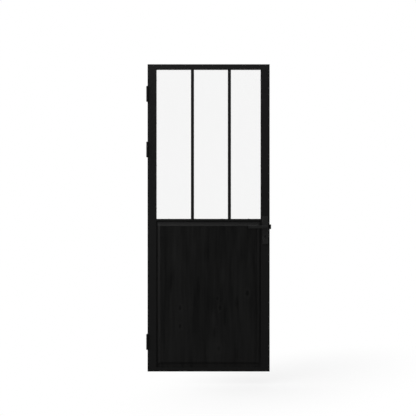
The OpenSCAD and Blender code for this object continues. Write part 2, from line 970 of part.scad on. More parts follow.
module forend_screws() {
    reach = wall + lug_t + screw_past;
    head_r = forend_screw_r + forend_sink_d - slip_fit;
    color(zinc) for (z = forend_screw_heights)
        translate([edge_x, 0, z]) rotate([0, -90, 0]) rotate_extrude() polygon([
            [0, head_under],
            [head_r - head_under, head_under],
            [forend_screw_r, head_r - forend_screw_r],
            [forend_screw_r, reach],
            [0, reach]
        ]);
}

// Latch bolt: nose rounded at its corners and sloped on the closing side
module latch_bolt() {
    slope_x = edge_x + latch_blunt / 2;
    color(zinc) {
        intersection() {
            along_y(-latch_t / 2, latch_t / 2) latch_face();
            along_z(lever_z - latch_h, lever_z + latch_h) polygon([
                [latch_heel_x, -latch_t / 2],
                [latch_tip_x, -latch_t / 2],
                [latch_tip_x, -latch_t / 2 + latch_blunt],
                [slope_x, latch_t / 2],
                [latch_heel_x, latch_t / 2]
            ]);
        }
        latch_tail();
    }
}

module latch_face() {
    z0 = lever_z - latch_h / 2;
    z1 = lever_z + latch_h / 2;
    r = latch_nose_r;
    translate([latch_heel_x, z0]) square([latch_tip_x - latch_heel_x - r, latch_h]);
    translate([latch_heel_x, z0 + r]) square([latch_tip_x - latch_heel_x, latch_h - 2 * r]);
    for (z = [z0 + r, z1 - r]) translate([latch_tip_x - r, z]) circle(r);
}

// Tail over the follower, slotted for its finger
module latch_tail() {
    difference() {
        span([tail_x0, -tail_t / 2, tail_z0], [tail_x1, tail_t / 2, tail_z1]);
        span(
            [finger_x - tail_slot_w / 2, -tail_t, tail_z0 - past],
            [finger_x + tail_slot_w / 2, tail_t, tail_slot_z1]
        );
    }
}

// Leaf spring that bears on the end of the latch's tail
module latch_spring() {
    x1 = tail_x0 - run_fit;
    z1 = case_z1 - sheet_t;
    color(zinc) {
        span([x1 - spring_t, -tail_t / 2, tail_z0], [x1, tail_t / 2, z1]);
        span([x1 - spring_t, -tail_t / 2, z1 - spring_t], [x1 + spring_foot, tail_t / 2, z1]);
    }
}

module dead_bolt() {
    tail_x = edge_x - dead_head - dead_tail;
    color(zinc) difference() {
        union() {
            span(
                [edge_x - dead_head, -dead_t / 2, dead_z - dead_h / 2],
                [edge_x, dead_t / 2, dead_z + dead_h / 2]
            );
            span(
                [tail_x, -dead_tail_t / 2, dead_tail_z0],
                [edge_x - dead_head, dead_tail_t / 2, dead_z + dead_h / 2]
            );
        }
        span(
            [lever_x - dead_notch_w / 2, -dead_t, dead_tail_z0 - past],
            [lever_x + dead_notch_w / 2, dead_t, dead_tail_z0 + dead_notch_h]
        );
    }
}

// Square bar or socket along Y through the lever's axis
module square_rod(y0, y1, side) {
    span([lever_x - side / 2, y0, lever_z - side / 2], [lever_x + side / 2, y1, lever_z + side / 2]);
}

module follower() {
    inner = case_t - 2 * sheet_t - 2 * bolt_fit;
    color(zinc) difference() {
        union() {
            rod_y([lever_x, -inner / 2, lever_z], inner, follower_r);
            rod_y([lever_x, -case_t / 2, lever_z], case_t, trunnion_r);
            translate([lever_x, 0, lever_z]) rotate([0, finger_lean, 0]) {
                span([-finger_w / 2, -finger_t / 2, 0], [finger_w / 2, finger_t / 2, finger_reach]);
                rod_y([0, -finger_t / 2, finger_reach], finger_t, finger_r);
            }
        }
        square_rod(-case_t, case_t, spindle_w + 2 * slip_fit);
    }
}

module spindle() {
    color(zinc) square_rod(spindle_y, -spindle_y, spindle_w);
}

// Handle plate on the hinge face, bevelled around its front
module handle_plate() {
    x0 = lever_x - plate_w / 2;
    x1 = lever_x + plate_w / 2;
    b = plate_bevel;
    intersection() {
        along_y(plate_face_y - past, front_y) round_rect(x0, x1, plate_z0, plate_z1, plate_corner_r);
        along_z(plate_z0, plate_z1) polygon([
            [x0, front_y], [x1, front_y], [x1, plate_face_y + b],
            [x1 - b, plate_face_y], [x0 + b, plate_face_y], [x0, plate_face_y + b]
        ]);
        along_x(x0, x1) polygon([
            [front_y, plate_z0], [front_y, plate_z1], [plate_face_y + b, plate_z1],
            [plate_face_y, plate_z1 - b], [plate_face_y, plate_z0 + b], [plate_face_y + b, plate_z0]
        ]);
    }
}

// Holes for the bush and the key in a handle plate
module plate_holes() {
    rod_y([lever_x, plate_face_y - past, lever_z], plate_t + 2 * past, bush_r + run_fit);
    along_y(plate_face_y - past, front_y + past) keyhole();
}

module plate_front() {
    color(handle_black) difference() {
        union() {
            handle_plate();
            for (z = plate_screw_heights) rod_y([lever_x, front_y - past, z], boss_len + past, boss_r);
        }
        plate_holes();
        for (z = plate_screw_heights)
            rod_y([lever_x, plate_face_y + plate_t / 2, z], plate_t + boss_len, plate_screw_r + run_fit);
    }
}

module plate_back() {
    sink = plate_head_r - plate_screw_r;
    color(handle_black) difference() {
        rear() handle_plate();
        rear() plate_holes();
        for (z = plate_screw_heights) {
            rod_y([lever_x, back_y - past, z], plate_t + 2 * past, plate_screw_r + slip_fit);
            translate([lever_x, -plate_face_y, z]) rotate([90, 0, 0])
                cylinder(h = sink, r1 = plate_head_r, r2 = plate_screw_r);
        }
    }
}

// Countersunk screws from the rear plate into the front plate's bosses
module plate_screws() {
    reach = leaf_t + plate_t;
    head_r = plate_head_r - slip_fit;
    color(handle_black) for (z = plate_screw_heights)
        translate([lever_x, -plate_face_y, z]) rotate([90, 0, 0]) rotate_extrude() polygon([
            [0, head_under],
            [head_r - head_under, head_under],
            [plate_screw_r, head_r - plate_screw_r],
            [plate_screw_r, reach],
            [0, reach]
        ]);
}

// Collared bush that the lever's neck turns in
module bush_front() {
    y0 = plate_face_y - bush_collar_t;
    color(rubber_black) difference() {
        union() {
            rod_y([lever_x, y0, lever_z], front_y - y0, bush_r);
            rod_y([lever_x, y0, lever_z], bush_collar_t, bush_collar_r);
        }
        rod_y([lever_x, y0 - past, lever_z], front_y - y0 + 2 * past, neck_r + run_fit);
    }
}

module bush_back() {
    rear() bush_front();
}

// Section of the grip: depth, then height around the lever's axis
module grip_section() {
    translate([0, -grip_h / 2]) round_rect(grip_y0, grip_y1, 0, grip_h, grip_r);
}

module lever_front() {
    color(handle_black) difference() {
        union() {
            rod_y([lever_x, grip_y1 - past, lever_z], -grip_y1 + front_y - neck_start + past, neck_r);
            translate([0, 0, lever_z]) along_x(lever_x - lever_len, lever_x) grip_section();
            translate([lever_x, 0, lever_z]) rotate([90, 0, 0]) rotate_extrude() grip_turned();
        }
        square_rod(spindle_y, 0, spindle_w + 2 * slip_fit);
        rod_z([lever_x, grub_y, lever_z - neck_r - past], neck_r + past, grub_r + run_fit);
    }
}

// Half of the grip's section, turned about the axis to end the grip
module grip_turned() {
    intersection() {
        rotate(-90) grip_section();
        translate([0, -leaf_w]) square([leaf_w, 2 * leaf_w]);
    }
}

module lever_back() {
    rear() lever_front();
}

// Grub screws that hold the levers on the spindle
module grub_screws() {
    length = neck_r - spindle_w / 2 - grub_out;
    color(zinc) for (y = [grub_y, -grub_y])
        rod_z([lever_x, y, lever_z - spindle_w / 2 - length], length, grub_r);
}

hinge_stile();
lock_stile();
top_rail();
lock_rail();
rail_cap();
bottom_rail();
glazing_bar(bars[0]);  // glazing_bar_left
glazing_bar(bars[1]);  // glazing_bar_right
pane(0);  // glass_left
pane(1);  // glass_middle
pane(2);  // glass_right
pane_gasket(0);  // gasket_left
pane_gasket(1);  // gasket_middle
pane_gasket(2);  // gasket_right
cross_bead(bead_y0, sight_z1, bead_y_mid);  // glazing_bead_top
cross_bead(bead_y0, glass_z0, bead_y_mid);  // glazing_bead_bottom
glazing_side_bead();  // glazing_bead_hinge_side
mirror([1, 0, 0]) glazing_side_bead();  // glazing_bead_lock_side
bar_cover(bars[0]);  // bar_cover_left
bar_cover(bars[1]);  // bar_cover_right
wood_panel();
panel_seal();
cross_bead(panel_y1, rail_z, panel_bead_y_mid);  // panel_bead_top
cross_bead(panel_y1, panel_z0, panel_bead_y_mid);  // panel_bead_bottom
panel_side_bead();  // panel_bead_hinge_side
mirror([1, 0, 0]) panel_side_bead();  // panel_bead_lock_side
bead_screws();
hinge_jamb_plate(hinge_low_z);  // hinge_low_jamb_plate
hinge_jamb_plate(hinge_mid_z);  // hinge_mid_jamb_plate
hinge_jamb_plate(hinge_top_z);  // hinge_top_jamb_plate
hinge_leaf_plate(hinge_low_z);  // hinge_low_leaf_plate
hinge_leaf_plate(hinge_mid_z);  // hinge_mid_leaf_plate
hinge_leaf_plate(hinge_top_z);  // hinge_top_leaf_plate
hinge_pin(hinge_low_z);  // hinge_low_pin
hinge_pin(hinge_mid_z);  // hinge_mid_pin
hinge_pin(hinge_top_z);  // hinge_top_pin
hinge_washers(hinge_low_z);  // hinge_low_washers
hinge_washers(hinge_mid_z);  // hinge_mid_washers
hinge_washers(hinge_top_z);  // hinge_top_washers
hinge_screws();
lock_case();
lock_cover();
forend();
forend_screws();
latch_bolt();
latch_spring();
dead_bolt();
follower();
spindle();
plate_front();
plate_back();
plate_screws();
bush_front();
bush_back();
lever_front();
lever_back();
grub_screws();
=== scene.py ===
"""Dresses the half-glazed steel door leaf, and lights and frames it as in the photo."""

import json
import logging
import math
from dataclasses import dataclass
from enum import Enum
from typing import Any, ClassVar

import bmesh
import bpy
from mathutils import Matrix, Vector

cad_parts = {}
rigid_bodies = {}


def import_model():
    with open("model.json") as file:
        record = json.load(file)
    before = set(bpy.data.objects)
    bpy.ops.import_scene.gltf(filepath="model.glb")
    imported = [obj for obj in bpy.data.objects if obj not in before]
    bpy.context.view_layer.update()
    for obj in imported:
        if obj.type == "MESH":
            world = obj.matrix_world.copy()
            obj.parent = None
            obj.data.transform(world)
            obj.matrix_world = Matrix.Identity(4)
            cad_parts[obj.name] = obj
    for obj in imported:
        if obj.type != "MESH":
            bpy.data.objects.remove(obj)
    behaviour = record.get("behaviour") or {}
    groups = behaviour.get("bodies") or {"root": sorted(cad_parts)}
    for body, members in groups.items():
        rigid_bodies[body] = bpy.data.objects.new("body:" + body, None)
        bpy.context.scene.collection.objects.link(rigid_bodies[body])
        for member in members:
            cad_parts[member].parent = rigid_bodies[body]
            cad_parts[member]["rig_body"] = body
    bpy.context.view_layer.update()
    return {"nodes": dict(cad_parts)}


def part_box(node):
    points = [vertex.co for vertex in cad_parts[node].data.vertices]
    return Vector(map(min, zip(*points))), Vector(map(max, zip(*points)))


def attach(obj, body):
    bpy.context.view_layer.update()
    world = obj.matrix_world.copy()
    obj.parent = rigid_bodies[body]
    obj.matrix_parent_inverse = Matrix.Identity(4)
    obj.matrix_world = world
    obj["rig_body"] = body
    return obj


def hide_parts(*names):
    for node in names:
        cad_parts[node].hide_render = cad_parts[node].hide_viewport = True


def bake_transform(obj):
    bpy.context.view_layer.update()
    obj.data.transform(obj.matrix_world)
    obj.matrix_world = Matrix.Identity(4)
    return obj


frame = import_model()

log = logging.getLogger("door_leaf")

MM = 0.001
MERGE_GAP = 0.002 * MM
FLAT_ANGLE = math.radians(0.3)
SHARP_ANGLE = math.radians(33)
SMOOTH_ANGLE = math.radians(38)
BEVEL_ANGLE = math.radians(12)
FLAT_WEIGHT = 100
SORT_DIGITS = 5

Piece = bpy.types.Object
Colour = tuple[float, float, float]
Place = tuple[float, float, float]
Span = tuple[float, float]


class Drive(Enum):
    """How a screw is driven."""

    CROSS = "cross recess"
    HEX = "hexagon socket"


class Axis(Enum):
    """The way a screw's head faces."""

    LEFT = (-1, 0, 0)
    RIGHT = (1, 0, 0)
    BACK = (0, 1, 0)
    DOWN = (0, 0, -1)
    UP = (0, 0, 1)

    def vector(self) -> Vector:
        """Return the direction as a vector."""
        return Vector(self.value)


class Shade:
    """One output of a shader node, with operators that add Math nodes."""

    def __init__(self, recipe: "Recipe", socket: bpy.types.NodeSocket) -> None:
        """Keep the socket and the recipe it belongs to."""
        self.recipe = recipe
        self.socket = socket

    def math(self, operation: str, *values: Any) -> "Shade":
        """Add a Math node.

        Args:
            operation: the Math node's operation.
            values: all its inputs in order, as numbers or shades.

        Returns:
            The node's result.
        """
        inputs = dict(enumerate(values))
        return self.recipe.node("ShaderNodeMath", {"operation": operation}, inputs)

    def __add__(self, other: Any) -> "Shade":
        """Return self + other."""
        return self.math("ADD", self, other)

    def __radd__(self, other: Any) -> "Shade":
        """Return other + self."""
        return self.math("ADD", other, self)

    def __sub__(self, other: Any) -> "Shade":
        """Return self - other."""
        return self.math("SUBTRACT", self, other)

    def __rsub__(self, other: Any) -> "Shade":
        """Return other - self."""
        return self.math("SUBTRACT", other, self)

    def __mul__(self, other: Any) -> "Shade":
        """Return self * other."""
        return self.math("MULTIPLY", self, other)

    def __rmul__(self, other: Any) -> "Shade":
        """Return other * self."""
        return self.math("MULTIPLY", other, self)

    def __truediv__(self, other: Any) -> "Shade":
        """Return self / other."""
        return self.math("DIVIDE", self, other)

    def __rtruediv__(self, other: Any) -> "Shade":
        """Return other / self."""
        return self.math("DIVIDE", other, self)

    def largest(self, other: Any) -> "Shade":
        """Return the larger of self and other."""
        return self.math("MAXIMUM", self, other)

    def root(self) -> "Shade":
        """Return the square root of self."""
        return self.math("SQRT", self)

    def step(self, low: float, high: float) -> "Shade":
        """Ease from 0 at low to 1 at high.

        Args:
            low: the value that gives 0.
            high: the value that gives 1; below low, the step falls.

        Returns:
            The eased value.
        """
        inputs = {"Value": self, "From Min": low, "From Max": high}
        return self.recipe.node("ShaderNodeMapRange", {"interpolation_type": "SMOOTHSTEP"}, inputs)

    def between(self, low: float, high: float) -> "Shade":
        """Return low where self is 0 and high where it is 1."""
        return self * (high - low) + low

    def mixed(self, other: "Shade", share: float) -> "Shade":
        """Return self with that share of it replaced by other."""
        return self * (1 - share) + other * share


class Recipe:
    """The node tree of a material or a world while it is put together."""

    def __init__(self, tree: bpy.types.NodeTree) -> None:
        """Empty the tree."""
        self.tree = tree
        tree.nodes.clear()

    def node(
        self,
        kind: str,
        settings: dict[str, Any] | None = None,
        inputs: dict[Any, Any] | None = None,
        output: Any = 0,
    ) -> Shade:
        """Add any node.

        Args:
            kind: the node's type.
            settings: the node's properties, which are set first.
            inputs: values or shades, by socket name or number.
            output: the name or number of the output wanted.

        Returns:
            That output.
        """
        made = self.tree.nodes.new(kind)
        for name, value in (settings or {}).items():
            setattr(made, name, value)
        for name, value in (inputs or {}).items():
            if isinstance(value, Shade):
                self.tree.links.new(value.socket, made.inputs[name])
            else:
                made.inputs[name].default_value = value
        found = made.outputs[output] if len(made.outputs) else None
        return Shade(self, found)

    def place(self) -> Shade:
        """Return the point on the piece, in metres in the door's own frame."""
        return self.node("ShaderNodeTexCoord", output="Object")

    def parts(self, vector: Shade) -> tuple[Shade, Shade, Shade]:
        """Return a vector's three parts."""
        split = self.node("ShaderNodeSeparateXYZ", inputs={0: vector})
        sockets = split.socket.node.outputs
        return Shade(self, sockets[0]), Shade(self, sockets[1]), Shade(self, sockets[2])

    def vector(self, x: Any, y: Any, z: Any) -> Shade:
        """Return a vector made of three numbers or shades."""
        return self.node("ShaderNodeCombineXYZ", inputs={0: x, 1: y, 2: z})

    def noise(self, vector: Shade, scale: float, detail: float = 2.0, rough: float = 0.5) -> Shade:
        """Return cloudy noise from 0 to 1.

        Args:
            vector: where it is read.
            scale: clouds per metre.
            detail: octaves of finer noise.
            rough: weight of the finer noise.

        Returns:
            The noise.
        """
        inputs = {"Vector": vector, "Scale": scale, "Detail": detail, "Roughness": rough}
        return self.node("ShaderNodeTexNoise", {"noise_dimensions": "3D"}, inputs)

    def blend(self, share: Any, first: Any, second: Any) -> Shade:
        """Mix two colours.

        Args:
            share: 0 for the first colour, 1 for the second.
            first: a colour or shade.
            second: a colour or shade.

        Returns:
            The mixed colour.
        """
        settings = {"data_type": "RGBA", "blend_type": "MIX"}
        first, second = ((*c, 1) if isinstance(c, tuple) else c for c in (first, second))
        return self.node("ShaderNodeMix", settings, {0: share, 6: first, 7: second}, output=2)

    def relief(self, height: Shade, depth: float, strength: float) -> Shade:
        """Return a bumped normal.

        Args:
            height: height from 0 to 1.
            depth: how deep 1 is, in metres.
            strength: how much of it shows.

        Returns:
            The normal.
        """
        inputs = {"Height": height, "Distance": depth, "Strength": strength}
        return self.node("ShaderNodeBump", inputs=inputs)

    def surface(self, inputs: dict[str, Any]) -> None:
        """Close the tree with one surface shader.

        Args:
            inputs: the shader's sockets by name.
        """
        shader = self.node("ShaderNodeBsdfPrincipled", inputs=inputs)
        self.node("ShaderNodeOutputMaterial", inputs={"Surface": shader})


class Finish:
    """A finish that makes its material once and hands the same one out."""

    name: str
    made: ClassVar[dict[str, bpy.types.Material]] = {}

    def material(self) -> bpy.types.Material:
        """Return this finish's material."""
        if self.name not in Finish.made:
            material = bpy.data.materials.new(self.name)
            material.use_nodes = True
            self.mix(Recipe(material.node_tree))
            Finish.made[self.name] = material
        return Finish.made[self.name]

    def mix(self, recipe: Recipe) -> None:
        """Put the finish together; each finish has its own."""
        raise NotImplementedError


def neutral(level: float, blue: float = 1.0) -> Colour:
    """Return a grey of that level, with its blue part scaled."""
    return level, level, level * blue


@dataclass(frozen=True)
class BlackCoat(Finish):
    """Baked black coat with a fine grain."""

    name: str
    grey: float = 0.0060
    tones: Span = (0.78, 1.22)
    blue: float = 0.99
    specular: float = 0.25
    rough: float = 0.50
    dulling: Span = (-0.08, 0.1)
    grain: float = 900.0
    grain_depth: float = 0.00012
    grain_strength: float = 0.22
    cloud: float = 6.0
    cloud_share: float = 0.4
    mottle: float = 0.14
    speckle: float = 0.3

    def mix(self, recipe: Recipe) -> None:
        """Grain, a slow mottle and duller high spots."""
        here = recipe.place()
        grain = recipe.noise(here, self.grain, 3.0, 0.6)
        cloud = recipe.noise(here, self.cloud, 3.0, 0.55)
        tone = (cloud - 0.5) * self.mottle + (grain - 0.5) * self.speckle
        share = (tone + 0.5).step(0.0, 1.0)
        low, high = (self.grey * part for part in self.tones)
        bright, dull = (self.rough + part for part in self.dulling)
        recipe.surface({
            "Base Color": recipe.blend(share, neutral(low), neutral(high, self.blue)),
            "Roughness": grain.mixed(cloud, self.cloud_share).between(bright, dull),
            "Specular IOR Level": self.specular,
            "Normal": recipe.relief(grain, self.grain_depth, self.grain_strength),
        })


@dataclass(frozen=True)
class Layer:
    """One layer of the timber's grain: its marks per metre each way, and its weight in the tone."""

    across: float
    through: float
    up: float
    detail: float
    rough: float = 0.5
    weight: float = 0.0

    def noise(self, recipe: Recipe, across: Shade, through: Shade, up: Shade) -> Shade:
        """Return the layer's noise at a point of the timber.

        Args:
            recipe: the tree that it is added to.
            across: the place across the grain, in metres.
            through: the place through the board.
            up: the place along the grain.

        Returns:
            The noise, from 0 to 1.
        """
        place = recipe.vector(across * self.across, through * self.through, up * self.up)
        return recipe.noise(place, 1.0, self.detail, self.rough)

    def weigh(self, noise: Shade) -> Shade:
        """Return what the layer's noise adds to the tone."""
        return (noise - 0.5) * self.weight


@dataclass(frozen=True)
class Fleck:
    """A long mark in the grain of the timber."""

    x: float
    z: float
    wide: float
    tall: float
    tone: float


@dataclass(frozen=True)
class Knot:
    """A knot in the timber, with the paler wood around it."""

    x: float
    z: float
    size: float


@dataclass(frozen=True)
class BlackTimber(Finish):
    """Black-stained timber whose grain runs up the panel, with knots and flecks."""

    name: str = "black_stained_timber"
    dark: float = 0.0014
    light: float = 0.0086
    blue: float = 0.97
    specular: float = 0.24
    rough: Span = (0.44, 0.60)
    relief_depth: float = 0.0006
    relief_strength: float = 0.35
    # The stain is made lighter towards the bottom of the panel and darker towards its top, about
    # middle_z.
    middle_z: float = 0.55
    downward_lightening: float = 0.20
    tone_edge: Span = (-0.1, 1.1)
    height_edge: Span = (-0.2, 1.2)
    sway: Layer = Layer(2.2, 1.0, 1.1, 2.0, weight=0.05)
    bands: Layer = Layer(13, 9, 0.8, 2.0, weight=0.8)
    streaks: Layer = Layer(42, 30, 2.6, 3.0, 0.55, 1.5)
    threads: Layer = Layer(125, 80, 5.5, 3.0, 0.6, 1.1)
    pores: Layer = Layer(1400, 900, 26, 2.0, 0.6)
    pore_edge: Span = (0.60, 0.72)
    pore_tone: float = 0.15
    pore_share: float = 0.4
    knot_tall: float = 1.8
    knot_push: float = 0.75
    knot_ease: float = 0.8
    heart_edge: Span = (1.2, 0.2)
    heart_tone: float = 0.8
    ring_edge: Span = (5.5, 1.6)
    ring_tone: float = 0.25
    knots: tuple[Knot, ...] = (
        Knot(-0.209, 0.465, 0.011),
        Knot(-0.209, 0.331, 0.010),
        Knot(0.083, 0.465, 0.011),
        Knot(0.282, 0.571, 0.013),
        Knot(0.075, 0.169, 0.013),
        Knot(0.063, 0.534, 0.009),
    )
    fleck_edge: Span = (1.3, 0.0)
    fleck_ragged: float = 0.016
    flecks: tuple[Fleck, ...] = (
        Fleck(-0.002, 0.863, 0.010, 0.070, -0.45),
        Fleck(-0.075, 0.615, 0.013, 0.095, -0.55),
        Fleck(-0.274, 0.647, 0.011, 0.090, -0.40),
        Fleck(0.116, 0.410, 0.010, 0.095, -0.50),
        Fleck(0.205, 0.505, 0.014, 0.050, -0.40),
        Fleck(0.043, 0.283, 0.010, 0.045, -0.40),
        Fleck(0.205, 0.125, 0.014, 0.050, -0.35),
        Fleck(-0.250, 0.875, 0.011, 0.130, 0.40),
        Fleck(0.172, 0.720, 0.009, 0.130, 0.40),
        Fleck(0.105, 0.700, 0.018, 0.065, 0.30),
        Fleck(0.035, 0.380, 0.012, 0.085, 0.30),
    )

    def mix(self, recipe: Recipe) -> None:
        """Bands, streaks, threads, pores, and knots that the grain flows around."""
        x, y, z = recipe.parts(recipe.place())
        across = x + self.sway.weigh(self.sway.noise(recipe, x, y, z))
        heart = x * 0
        ring = x * 0
        for knot in self.knots:
            dx = (x - knot.x) / knot.size
            dz = (z - knot.z) / (knot.size * self.knot_tall)
            far = dx * dx + dz * dz
            across = across - dx / (1.0 + far * self.knot_ease) * (knot.size * self.knot_push)
            heart = heart.largest(far.step(*self.heart_edge))
            ring = ring.largest(far.step(*self.ring_edge))
        bands, streaks, threads, pores = (
            layer.noise(recipe, across, y, z)
            for layer in (self.bands, self.streaks, self.threads, self.pores)
        )
        cut = pores.step(*self.pore_edge)
        marks = ring * self.ring_tone - heart * self.heart_tone
        ragged = x + (threads - 0.5) * self.fleck_ragged
        for fleck in self.flecks:
            dx = (ragged - fleck.x) / fleck.wide
            dz = (z - fleck.z) / fleck.tall
            marks = marks + (dx * dx + dz * dz).step(*self.fleck_edge) * fleck.tone
        grain = self.bands.weigh(bands) + self.streaks.weigh(streaks) + self.threads.weigh(threads)
        # The middle_z term makes the tone lighter below middle_z and darker above it.
        tone = grain + marks - cut * self.pore_tone + (self.middle_z - z) * self.downward_lightening + 0.5
        dark, light = neutral(self.dark, self.blue), neutral(self.light, self.blue)
        height = tone.step(*self.height_edge).mixed(1 - cut, self.pore_share)
        dull = tone.step(0.0, 1.0).mixed(cut, self.pore_share)
        recipe.surface({
            "Base Color": recipe.blend(tone.step(*self.tone_edge), dark, light),
            "Roughness": dull.between(*self.rough),
            "Specular IOR Level": self.specular,
            "Normal": recipe.relief(height, self.relief_depth, self.relief_strength),
        })


@dataclass(frozen=True)
class ClearGlass(Finish):
    """Clear float glass, very slightly wavy and wiped."""

    name: str = "clear_float_glass"
    tint: Colour = (0.961, 0.961, 0.961)
    deep: float = 0.985
    index: float = 1.5
    wave: Span = (5.0, 1.2)
    wave_depth: float = 0.0004
    wave_strength: float = 0.05
    wipe: Span = (30.0, 9.0)
    wipe_slant: float = 12.0
    wipe_edge: Span = (0.45, 0.9)
    haze: float = 0.012

    def mix(self, recipe: Recipe) -> None:
        """A faint draw wave in the surface and a trace of wiping marks."""
        x, y, z = recipe.parts(recipe.place())
        wave = recipe.noise(recipe.vector(x * self.wave[0], y, z * self.wave[1]), 1.0, 1.0)
        slant = x * self.wipe[0] + z * self.wipe_slant
        wiped = recipe.noise(recipe.vector(slant, y, z * self.wipe[1]), 1.0, 3.0)
        deep = tuple(self.deep * part for part in self.tint)
        recipe.surface({
            "Base Color": recipe.blend(wiped, deep, self.tint),
            "Roughness": wiped.step(*self.wipe_edge).between(0.0, self.haze),
            "IOR": self.index,
            "Transmission Weight": 1.0,
            "Normal": recipe.relief(wave, self.wave_depth, self.wave_strength),
        })


@dataclass(frozen=True)
class BlackRubber(Finish):
    """Extruded black rubber with a dry bloom."""

    name: str = "black_gasket_rubber"
    grey: float = 0.010
    tones: Span = (0.7, 1.5)
    specular: float = 0.1
    rough: Span = (0.62, 0.85)
    pits: float = 1300.0
    pit_depth: float = 0.0001
    pit_strength: float = 0.2
    bloom: float = 22.0
    bloom_edge: Span = (0.3, 0.75)

    def mix(self, recipe: Recipe) -> None:
        """Fine pitting and a patchy bloom."""
        here = recipe.place()
        pits = recipe.noise(here, self.pits, 2.0)
        bloom = recipe.noise(here, self.bloom, 3.0)
        low, high = (self.grey * part for part in self.tones)
        recipe.surface({
            "Base Color": recipe.blend(bloom.step(*self.bloom_edge), neutral(low), neutral(high)),
            "Roughness": pits.between(*self.rough),
            "Specular IOR Level": self.specular,
            "Normal": recipe.relief(pits, self.pit_depth, self.pit_strength),
        })


@dataclass(frozen=True)
class PlainMetal(Finish):
    """Bare or plated steel with drawn lines and a patchy tone."""

    name: str
    grey: float
    rough: float
    metallic: float
    tones: Span = (0.75, 1.25)
    tone_edge: Span = (0.25, 0.75)
    blue: float = 1.02
    specular: float = 0.3
    dulling: Span = (-0.1, 0.12)
    lines: Place = (90.0, 90.0, 1600.0)
    line_depth: float = 0.00006
    line_strength: float = 0.18
    patch: float = 60.0
    patch_tone: float = 0.4
    patch_dull: float = 0.3

    def mix(self, recipe: Recipe) -> None:
        """Drawn lines one way and a slow patchy tone."""
        here = recipe.place()
        stretched = (part * scale for part, scale in zip(recipe.parts(here), self.lines))
        drawn = recipe.noise(recipe.vector(*stretched), 1.0, 3.0)
        patch = recipe.noise(here, self.patch, 3.0)
        share = drawn.mixed(patch, self.patch_tone).step(*self.tone_edge)
        low, high = (self.grey * part for part in self.tones)
        bright, dull = (self.rough + part for part in self.dulling)
        recipe.surface({
            "Base Color": recipe.blend(share, neutral(low), neutral(high, self.blue)),
            "Metallic": self.metallic,
            "Roughness": drawn.mixed(patch, self.patch_dull).between(bright, dull),
            "Specular IOR Level": self.specular,
            "Normal": recipe.relief(drawn, self.line_depth, self.line_strength),
        })


@dataclass(frozen=True)
class BlackNylon(Finish):
    """Moulded black nylon."""

    name: str = "black_moulded_nylon"
    grey: float = 0.016
    tones: Span = (0.8, 1.2)
    specular: float = 0.2
    rough: Span = (0.42, 0.58)
    grain: float = 2100.0
    grain_depth: float = 0.00005
    grain_strength: float = 0.2
    flow: float = 140.0

    def mix(self, recipe: Recipe) -> None:
        """Spark-eroded grain with faint flow marks."""
        here = recipe.place()
        grain = recipe.noise(here, self.grain, 2.0)
        flow = recipe.noise(here, self.flow, 2.0)
        low, high = (self.grey * part for part in self.tones)
        recipe.surface({
            "Base Color": recipe.blend(flow, neutral(low), neutral(high)),
            "Roughness": grain.between(*self.rough),
            "Specular IOR Level": self.specular,
            "Normal": recipe.relief(grain, self.grain_depth, self.grain_strength),
        })


FRAME_COAT = BlackCoat("black_textured_coat")
# The frame's black coat with a lighter grey for the lock rail's cap: painted light on its
# upward-facing face.
CAP_COAT_PAINTED_LIGHTER = BlackCoat("black_coat_painted_lighter_cap", grey=0.0077, specular=0.36, rough=0.46)
HINGE_COAT = BlackCoat(
    "black_hinge_coat", grey=0.0055, rough=0.42, grain=1500.0, grain_strength=0.1
)
HANDLE_COAT = BlackCoat(
    "black_handle_coat", grey=0.0125, specular=0.40, rough=0.40, grain=1700.0, grain_strength=0.08
)
TIMBER = BlackTimber()
GLASS = ClearGlass()
RUBBER = BlackRubber()
NYLON = BlackNylon()
SCREW_METAL = PlainMetal("black_zinc_screws", grey=0.030, rough=0.42, metallic=0.6)
BOLT_METAL = PlainMetal("blackened_bolt_steel", grey=0.028, rough=0.36, metallic=0.8)
CASE_METAL = PlainMetal("zinc_plated_sheet", grey=0.48, rough=0.38, metallic=1.0)


